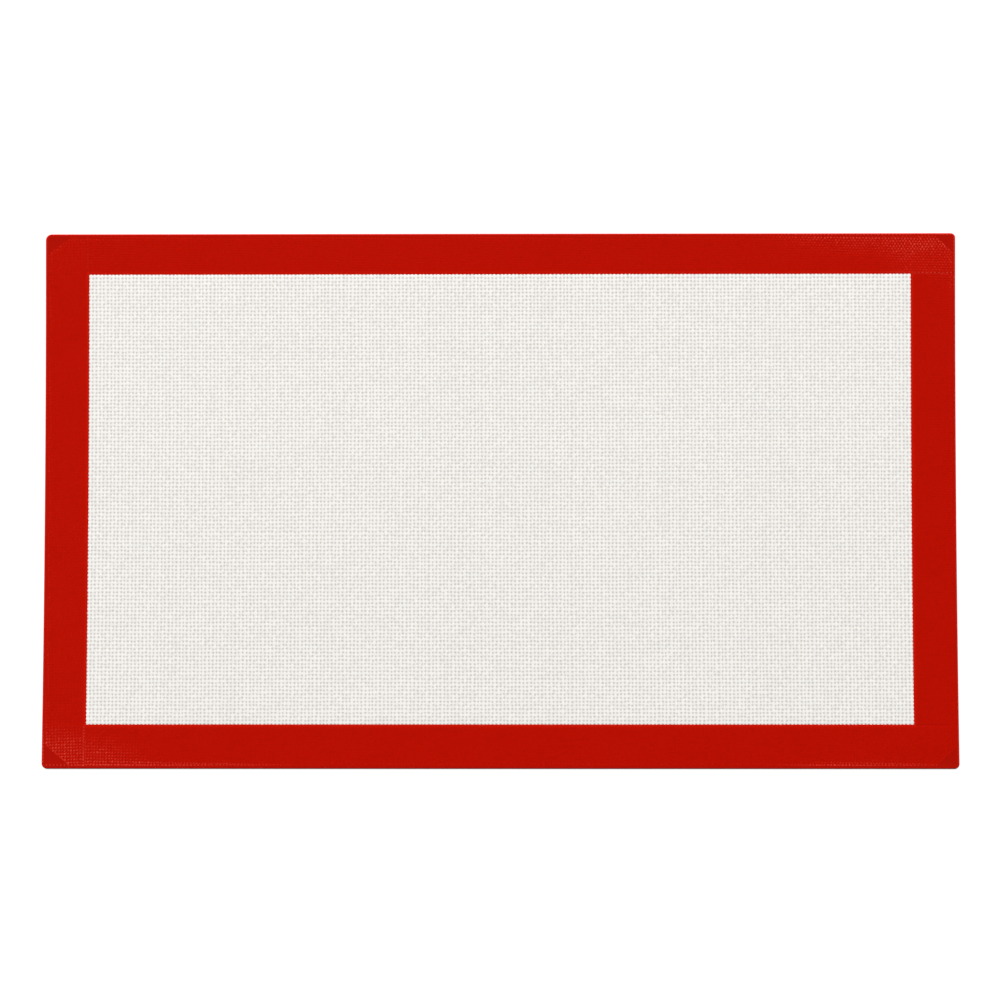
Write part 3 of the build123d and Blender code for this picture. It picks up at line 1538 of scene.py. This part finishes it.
    def nub_rows(self) -> list[tuple[Point, Point, float, float, bool]]:
        """Rows of nubs: beside the seams where this strip lies on top, along the clips and the rim.

        Returns:
            Start, end, spacing and share of each row, and whether the share is of the bold print.
        """
        lay, seam, inset = self.layout, self.seams(), self.nub_inset
        across, along = self.nub_pitch_across, self.nub_pitch_along
        back_left, front_left, back_right = self.seam_nubs
        rows = []
        if self.side is Side.LEFT:
            x = seam["back_left"] - inset
            rows.append(((x, lay.window_back), (x, lay.back), across, back_left, False))
            x = seam["front_left"] - self.front_left_nub_inset
            rows.append(((x, lay.front), (x, lay.window_front), across, front_left, False))
        if self.side is Side.BACK:
            y = seam["back_right"] + inset
            rows.append(((lay.window_right, y), (lay.right, y), along, back_right, False))
        cut = lay.cloth().corners(inset)
        for number in range(0, len(cut), 2):
            rows.append((cut[number - 1], cut[number], across, self.clip_nub_share, True))
        rim = self.rim_nub_inset
        left, right, back = lay.left + rim, lay.right - rim, lay.back - rim
        front = lay.front + self.front_nub_inset
        corners = ((left, front), (right, front), (right, back), (left, back))
        for start, end in zip(corners, corners[1:] + corners[:1]):
            rows.append((start, end, self.rim_nub_pitch, self.rim_nub_share, True))
        return rows

    @cached_property
    def nubs(self) -> list[tuple[float, float, float]]:
        """The nubs of this strip, which stand out where its print is bold.

        Returns:
            x, y and strength of each.
        """
        draw = np.random.default_rng(self.nub_seed)
        found = []
        for start, end, pitch, share, of_bold in self.nub_rows():
            if self.face is Face.LOWER:
                continue
            parts = round(math.dist(start, end) / pitch)
            run = np.arange(1, parts) / parts
            x, y = (a + (b - a) * run for a, b in zip(start, end))
            strength = share * (self.bold(x, y) if of_bold else np.ones_like(x))
            strength = np.minimum(strength * draw.uniform(*self.nub_spread, len(run)), 1.0)
            held = self.within(x, y, self.nub_radius) & ~self.covered(x, y)
            held &= (self.seam_distance(x, y) > self.nub_radius) & (strength > self.least_nub)
            found += zip(x[held].tolist(), y[held].tolist(), strength[held].tolist())
        return found

    def nub_shape(self, x: Array, y: Array) -> Array:
        """Shape of the nubs, from 0 beyond them to each one's strength at its centre.

        Args:
            x: places along the mat.
            y: places across it.

        Returns:
            The shape at each place.
        """
        shape = np.zeros_like(x)
        for nub_x, nub_y, strength in self.nubs:
            away = ((x - nub_x) ** 2 + (y - nub_y) ** 2) / self.nub_radius**2
            shape = shape + strength * np.maximum(1.0 - away, 0.0) ** 2
        return shape

    def glow(self, x: Array, y: Array) -> Array:
        """Painted light at the edges, from 0 to 1: lighter red along the rim, none over the front bevel,
        which is left dark as shade, and some near the window.

        Args:
            x: places along the mat.
            y: places across it.

        Returns:
            The painted light at each place.
        """
        outer = 1.0 - smooth_step(self.layout.edge_distance(x, y), *self.painted_rim_light)
        from_front, slope = y - self.layout.front, self.front_edge_width
        # No painted light over the front bevel, which stays dark as shade with the key lamp behind the mat
        outer = outer * smooth_step(from_front, slope, self.front_painted_light_start * slope)
        window = 1.0 - smooth_step(self.window_distance(x, y), *self.window_painted_light)
        return np.maximum(outer, self.window_painted_light_share * window)

    def bold(self, x: Array, y: Array) -> Array:
        """How much more strongly than elsewhere the press has printed its cloth.

        Args:
            x: places along the mat.
            y: places across it.

        Returns:
            The added strength at each place.
        """
        patches = [patch for patch in self.patches if patch.side is self.side]
        if self.face is Face.LOWER:
            return np.zeros_like(x)
        return np.sum([patch.share(x, y) for patch in patches], axis=0)

    def print_strength(self, x: Array, y: Array) -> Array:
        """How strongly the print shows: not at all past the cloth, and more at its cut ends.

        Args:
            x: places along the mat.
            y: places across it.

        Returns:
            The strength at each place, 0 for none.
        """
        within_cloth = self.layout.cloth().distance(x, y)
        strength = PRESS_CLOTHS[self.side].faint_print + self.cut_print * (
            1.0 - smooth_step(np.abs(within_cloth - self.cut_reach / 2), 0.0, self.cut_reach)
        )
        strength = np.minimum(strength + self.bold(x, y), self.most_print)
        return strength * smooth_step(within_cloth, -self.clear, self.clear)

    def bevel(self, x: Array, y: Array) -> Array:
        """Drop of the strip towards the mat's outer edge, which is wider along the front.

        Args:
            x: places along the mat.
            y: places across it.

        Returns:
            The drop at each place.
        """
        at_front = smooth_step(self.layout.front - y, -self.front_reach, 0.0)
        width = self.edge_width + (self.front_edge_width - self.edge_width) * at_front
        run = np.clip(1.0 - self.layout.edge_distance(x, y) / width, 0.0, 1.0)
        return self.edge_depth * run**self.edge_bend

    def lap(self, x: Array, y: Array) -> Array:
        """Height at which one strip's end lies on another's: flat, and down with the outer bevel.

        Args:
            x: places along the mat.
            y: places across it.

        Returns:
            The height at each place.
        """
        lay = self.layout
        lowest_face = lay.cover_top - self.nub_height - self.lap_rise - self.groove_depth
        beneath = lowest_face - 2 * self.least_cover - self.bevel(x, y)
        return np.clip(beneath, lay.middle + self.least_cover, lay.lap_plane)

    def top(self, x: Array, y: Array, level: Array) -> Array:
        """Height of the strip's open face.

        Args:
            x: places along the mat.
            y: places across it.
            level: relief at each place, 1 on a dot and -1 in a dip.

        Returns:
            The height at each place.
        """
        lay, strength = self.layout, self.print_strength(x, y)
        inside = smooth_step(lay.cloth().distance(x, y), -self.clear, self.clear)
        from_edge = lay.edge_distance(x, y)
        bead = 1.0 - smooth_step(from_edge, self.edge_width, self.bead_width)
        height = lay.cover_top - self.nub_height - self.lap_rise * (1.0 - self.raised(x, y))
        height = height - self.groove_depth * (1.0 - inside) + self.bead_height * bead
        height = height - self.relief * (1.0 - level) / 2 * strength
        height = height + self.nub_height * self.nub_shape(x, y)
        height = height - self.bevel(x, y)
        height = height - round_over(self.seam_distance(x, y), self.seam_width, self.seam_depth)
        beside = np.maximum(self.window_distance(x, y) - self.lattice.scallop, 0.0)
        height = height - round_over(beside, self.window_width, self.window_depth)
        height = np.maximum(height, self.bottom(x, y, level) + self.least_cover)
        return np.where(self.covered(x, y), self.lap(x, y), height)

    def bottom(self, x: Array, y: Array, level: Array) -> Array:
        """Height of the strip's hidden face: on the cloth, at the middle, or on another strip.

        Args:
            x: places along the mat.
            y: places across it.
            level: relief at each place, which this face doesn't have.

        Returns:
            The height at each place.
        """
        lay = self.layout
        height = np.where(lay.cloth().distance(x, y) > -self.step / 2, lay.cloth_top, lay.middle)
        if self.side is Side.LEFT:
            on_top = (y > lay.window_back + self.step / 2) | (y < lay.window_front - self.step / 2)
        elif self.side is Side.RIGHT:
            on_top = np.zeros_like(x, bool)
        else:
            on_top = x > lay.window_right + self.step / 2
        return np.where(on_top, self.lap(x, y), height)

    def lines(self) -> list[list[Point]]:
        """Lines across the strip where its height turns: its edges, the cloth's cut and the laps.

        Returns:
            The points of each line.
        """
        lay, seam = self.layout, self.seams()
        cloth = lay.cloth()
        rings = [lay.rounded_outline(inset) for inset in self.edge_insets]
        rings += [cloth.corners(inset) for inset in (-self.clear, -self.step, 0.0, self.clear)]
        lines = [ring + ring[:1] for ring in rings]
        across_y, across_x = [], []
        if self.side in (Side.BACK, Side.FRONT):
            edge = seam[f"{self.side.value}_left"]
            across_x += [edge - self.step, edge, edge + self.seam_width / 2, edge + self.seam_width]
            across_x += [lay.window_right, lay.window_right + self.step, lay.window_right + self.clear]
        elif self.side is Side.RIGHT:
            back, front = seam["back_right"], seam["front_right"]
            across_y += [back + self.step, back, back - self.seam_width / 2, back - self.seam_width]
            across_y += [front - self.step, front, front + self.seam_width / 2, front + self.seam_width]
        else:
            back, front = lay.window_back, lay.window_front
            across_y += [back, back + self.step, back + self.clear]
            across_y += [front, front - self.step, front - self.clear]
        lines += [[(x, lay.front), (x, lay.back)] for x in across_x]
        lines += [[(lay.left, y), (lay.right, y)] for y in across_y]
        divided = []
        for line in lines:
            stretches = [divide(start, end, self.spacing)[1:] for start, end in zip(line, line[1:])]
            divided.append(line[:1] + [point for stretch in stretches for point in stretch])
        return divided

    def plan(self) -> PlatePlan:
        """The strip from above, with the dots and dips of its print and its nubs.

        Returns:
            The plan, whose lines are kept only where they cross the strip.
        """
        x, y, level = self.pressed.points()
        keep = self.within(x, y, self.clear) & ~self.covered(x, y)
        keep &= self.layout.cloth().distance(x, y) > self.clear * self.free_room
        keep &= self.seam_distance(x, y) > self.seam_width * self.free_room
        keep &= self.window_distance(x, y) > self.clear
        x, y, level = x[keep], y[keep], level[keep]
        turns = np.arange(self.nub_sides) * math.tau / self.nub_sides
        radii = [self.nub_radius * share for share in self.nub_rings]
        for nub_x, nub_y, _ in self.nubs:
            beyond = np.hypot(x - nub_x, y - nub_y) > self.nub_radius * self.nub_room
            nub_xs = np.concatenate([nub_x + radius * np.cos(turns) for radius in radii])
            nub_ys = np.concatenate([nub_y + radius * np.sin(turns) for radius in radii])
            nub_xs, nub_ys = nub_xs[self.nub_sides - 1 :], nub_ys[self.nub_sides - 1 :]
            x, y = np.concatenate([x[beyond], nub_xs]), np.concatenate([y[beyond], nub_ys])
            level = np.concatenate([level[beyond], self.pressed.level(nub_xs, nub_ys)])
        lines = []
        for line in self.lines():
            ends = np.array(line)
            held = self.within(ends[:, 0], ends[:, 1], self.step)
            run: list[Point] = []
            for point, inside in zip(line, held):
                if inside:
                    run.append(point)
                    continue
                if len(run) > 1:
                    lines.append(run)
                run = []
            if len(run) > 1:
                lines.append(run)
        return PlatePlan(self.outline(), lines, x, y, level)

    def build(self, material: bpy.types.Material) -> bpy.types.Object:
        """Make the strip and set it on the mat.

        Args:
            material: the red silicone.

        Returns:
            The strip's object.
        """
        plate = Plate(
            f"{self.name}_strip",
            self.plan(),
            self.top,
            self.bottom,
            self.print_strength,
            {PAINTED_EDGE_LIGHT: self.glow, THIN_AND_GLINT: self.nub_shape},
        )
        strip = plate.build(self.layout, self.pressed, self.face)
        strip.data.materials.append(material)
        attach(strip, "root")
        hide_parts(self.name)
        return strip


@dataclass(frozen=True)
class ClearCoat:
    """The clear silicone over the cloth on one face, which follows each yarn beneath it."""

    layout: MatLayout
    lattice: WeaveLattice
    face: Face
    depth: float = 0.12 * MM
    margin: float = 0.2

    @property
    def name(self) -> str:
        """The node that this coat stands for."""
        return f"{self.face.value}_clear_coat"

    def outline(self) -> list[Point]:
        """The window's outline, anticlockwise, as the edging leaves it."""
        side = self.lattice.window_side
        run = side(Side.FRONT)[:-1] + side(Side.RIGHT)[:-1]
        return run + side(Side.BACK)[:0:-1] + side(Side.LEFT)[:0:-1]

    def top(self, x: Array, y: Array, level: Array) -> Array:
        """Height of the coat: full on the yarns, and lower in the openings of the mesh."""
        return self.layout.coat_top - self.depth * (1.0 - level) / 2

    def bottom(self, x: Array, y: Array, level: Array) -> Array:
        """Height of the coat's hidden face, on the cloth."""
        return np.full_like(x, self.layout.cloth_top)

    def build(self, material: bpy.types.Material) -> bpy.types.Object:
        """Make the coat and set it on the cloth.

        Args:
            material: the coated weave.

        Returns:
            The coat's object.
        """
        lattice, margin = self.lattice, self.margin
        x, y, level = lattice.points((margin, margin), (lattice.columns - margin, lattice.rows - margin))
        plan = PlatePlan(self.outline(), [], x, y, level)
        plate = Plate(f"{self.name}_relief", plan, self.top, self.bottom, plain_bottom=True)
        coat = plate.build(self.layout, lattice, self.face)
        coat.data.materials.append(material)
        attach(coat, "root")
        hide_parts(self.name)
        return coat


@dataclass(frozen=True)
class GlassCloth:
    """The woven core: a thin sheet that rises and falls from one crossing to the next."""

    layout: MatLayout
    lattice: WeaveLattice
    wave: float = 0.05 * MM
    half_thickness: float = 0.12 * MM
    edge_room: float = 0.4 * MM

    def top(self, x: Array, y: Array, level: Array) -> Array:
        """Height of the cloth's upper face."""
        return self.layout.middle + self.half_thickness + self.wave * level

    def bottom(self, x: Array, y: Array, level: Array) -> Array:
        """Height of the cloth's lower face."""
        return self.layout.middle - self.half_thickness + self.wave * level

    def build(self, material: bpy.types.Material) -> bpy.types.Object:
        """Make the cloth and lay it in the mat.

        Args:
            material: the glass yarn.

        Returns:
            The cloth's object.
        """
        lay, lattice = self.layout, self.lattice
        cloth = lay.cloth()
        low = lattice.numbers(np.array([lay.left]), np.array([lay.front]))
        high = lattice.numbers(np.array([lay.right]), np.array([lay.back]))
        i, j = np.meshgrid(
            np.arange(math.floor(low[0][0]), math.ceil(high[0][0])),
            np.arange(math.floor(low[1][0]), math.ceil(high[1][0])),
            indexing="ij",
        )
        i, j = i.ravel().astype(float), j.ravel().astype(float)
        x, y = lattice.place(i + 0.5, j + 0.5)
        keep = cloth.distance(x, y) > self.edge_room
        level = np.where((i + j) % 2 == 0, 1.0, -1.0)[keep]
        plan = PlatePlan(cloth.corners(), [], x[keep], y[keep], level)
        plate = Plate("glass_cloth_weave", plan, self.top, self.bottom)
        sheet = plate.build(lay, lattice, Face.UPPER)
        sheet.data.materials.append(material)
        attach(sheet, "root")
        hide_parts("glass_cloth")
        return sheet


@dataclass
class BakingMat:
    """The whole mat: cloth, coats and edging."""

    layout: MatLayout
    lattice: WeaveLattice
    effects: Effects
    coated: CoatedWeaveFinish = field(default_factory=CoatedWeaveFinish)
    red: RedSiliconeFinish = field(default_factory=RedSiliconeFinish)
    yarn: GlassYarnFinish = field(default_factory=GlassYarnFinish)

    def build(self) -> None:
        """Build every piece in the order that the mat is laid up, and report each."""
        coated, red = self.coated.build(self.effects), self.red.build(self.effects)
        made = []
        for face in Face:
            made.append(ClearCoat(self.layout, self.lattice, face).build(coated))
            for side in Side:
                made.append(BorderStrip(self.layout, self.lattice, side, face).build(red))
        made.append(GlassCloth(self.layout, self.lattice).build(self.yarn.build(self.effects)))
        for piece in made:
            log.info("%s: %d faces", piece.name, len(piece.data.polygons))


@dataclass(frozen=True)
class AreaLamp:
    """A square soft lamp that points at the mat."""

    name: str
    place: tuple[float, float, float]
    aim: tuple[float, float, float]
    size: float
    power: float

    def build(self) -> None:
        """Add the lamp to the scene."""
        data = bpy.data.lights.new(self.name, "AREA")
        data.size, data.energy = self.size, self.power
        lamp = bpy.data.objects.new(self.name, data)
        lamp.location = self.place
        aim = Vector(self.aim) - Vector(self.place)
        lamp.rotation_euler = aim.to_track_quat("-Z", "Y").to_euler()
        bpy.context.scene.collection.objects.link(lamp)


@dataclass(frozen=True)
class Studio:
    """The plain white floor, the lamps, the surroundings and the camera."""

    distance: float = 1.5
    tilt: float = math.radians(2.75)
    yaw: float = math.radians(0.25)
    lens: float = 94.86
    sensor: float = 36.0
    aim: Point = (-0.12 * MM, 0.06 * MM)
    floor_size: float = 60.0
    floor_gap: float = 0.05 * MM
    surroundings: float = 2.2
    ceiling: float = 0.012
    low_end: Point = (0.3, 0.75)
    behind_start: Point = (-0.1, 0.5)
    floor_glow: float = 0.86
    floor_shade: float = 0.23
    floor_white: float = 0.8
    lamps: tuple[AreaLamp, ...] = (
        AreaLamp("key", (-2.4, 12.3, 9.9), (0.0, 0.0, 0.0), 4.5, 2975.0),
        AreaLamp("back_right_glint", (1.1, 0.6, 2.0), (0.2, 0.1, 0.0), 0.28, 0.6),
        AreaLamp("front_left_glint", (-1.18, -0.39, 2.0), (-0.2, -0.1, 0.0), 0.28, 1.2),
    )

    def floor_material(self) -> bpy.types.Material:
        """Make the floor's material.

        Returns:
            A material that is white to the eye, and darker where the mat keeps light from it.
        """
        material = bpy.data.materials.new("studio_floor")
        material.use_nodes = True
        graph = Graph(material.node_tree)
        graph.tree.nodes.clear()
        path = graph.add("ShaderNodeLightPath").outputs
        seen = graph.math("MAXIMUM", path["Is Camera Ray"], path["Is Glossy Ray"])
        seen = graph.math("MAXIMUM", seen, path["Is Transmission Ray"])
        matt = graph.add("ShaderNodeBsdfDiffuse")
        matt.inputs["Color"].default_value = (*[self.floor_white] * 3, 1.0)
        shade = graph.add("ShaderNodeBsdfDiffuse")
        shade.inputs["Color"].default_value = (*[self.floor_shade] * 3, 1.0)
        glow = graph.add("ShaderNodeEmission")
        glow.inputs["Strength"].default_value = self.floor_glow
        both = graph.add("ShaderNodeAddShader", shade.outputs[0], glow.outputs[0])
        choice = graph.add("ShaderNodeMixShader", seen, matt.outputs[0], both.outputs[0])
        graph.add("ShaderNodeOutputMaterial", choice.outputs[0])
        return material

    def build_floor(self) -> None:
        """Add the floor, just under the mat."""
        half = self.floor_size / 2
        mesh = bpy.data.meshes.new("floor")
        corners = [(-half, -half), (half, -half), (half, half), (-half, half)]
        mesh.from_pydata([(x, y, -self.floor_gap) for x, y in corners], [], [(0, 1, 2, 3)])
        mesh.materials.append(self.floor_material())
        floor = bpy.data.objects.new("floor", mesh)
        bpy.context.scene.collection.objects.link(floor)

    def build_world(self) -> None:
        """Set the surroundings: white to the eye, and as a light low and behind the mat alone."""
        world = bpy.data.worlds.new("studio")
        world.use_nodes = True
        bpy.context.scene.world = world
        graph = Graph(world.node_tree)
        graph.tree.nodes.clear()
        path = graph.add("ShaderNodeLightPath").outputs
        direction = graph.add("ShaderNodeTexCoord").outputs["Generated"]
        parts = graph.add("ShaderNodeSeparateXYZ", direction).outputs
        low_down = graph.math("SUBTRACT", 1.0, graph.step(parts[2], *self.low_end))
        behind = graph.step(parts[1], *self.behind_start)
        glossy = graph.math("MULTIPLY", path["Is Glossy Ray"], low_down)
        seen = graph.math("MAXIMUM", path["Is Camera Ray"], path["Is Transmission Ray"])
        seen = graph.math("MAXIMUM", seen, glossy)
        light = graph.math("MULTIPLY", low_down, behind)
        light = graph.math("MULTIPLY_ADD", light, self.surroundings - self.ceiling, self.ceiling)
        lit = graph.add("ShaderNodeBackground")
        graph.feed(lit.inputs["Strength"], light)
        lit.inputs["Color"].default_value = WHITE
        plain = graph.add("ShaderNodeBackground")
        plain.inputs["Color"].default_value = WHITE
        choice = graph.add("ShaderNodeMixShader", seen, lit.outputs[0], plain.outputs[0])
        graph.add("ShaderNodeOutputWorld", choice.outputs[0])

    def build_camera(self) -> None:
        """Add the camera, nearly overhead and a little towards the front."""
        scene = bpy.context.scene
        data = bpy.data.cameras.new("camera")
        data.lens, data.sensor_width = self.lens, self.sensor
        camera = bpy.data.objects.new("camera", data)
        camera.location = (
            self.aim[0] + self.distance * math.sin(self.yaw) * math.cos(self.tilt),
            self.aim[1] - self.distance * math.sin(self.tilt),
            self.distance * math.cos(self.yaw) * math.cos(self.tilt),
        )
        camera.rotation_euler = (self.tilt, self.yaw, 0.0)
        scene.collection.objects.link(camera)
        scene.camera = camera

    def build(self) -> None:
        """Build the whole studio and set plain colours."""
        self.build_floor()
        self.build_world()
        self.build_camera()
        for lamp in self.lamps:
            lamp.build()
        bpy.context.scene.view_settings.view_transform = "Standard"


def main() -> None:
    """Load the frame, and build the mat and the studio."""
    logging.basicConfig(level=logging.INFO, format="%(message)s")
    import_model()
    layout = MatLayout.from_frame()
    mat = BakingMat(layout, WeaveLattice(layout), Effects(WeaveEffect().build(), CastEffect().build()))
    mat.build()
    Studio().build()


if __name__ == "__main__":
    main()
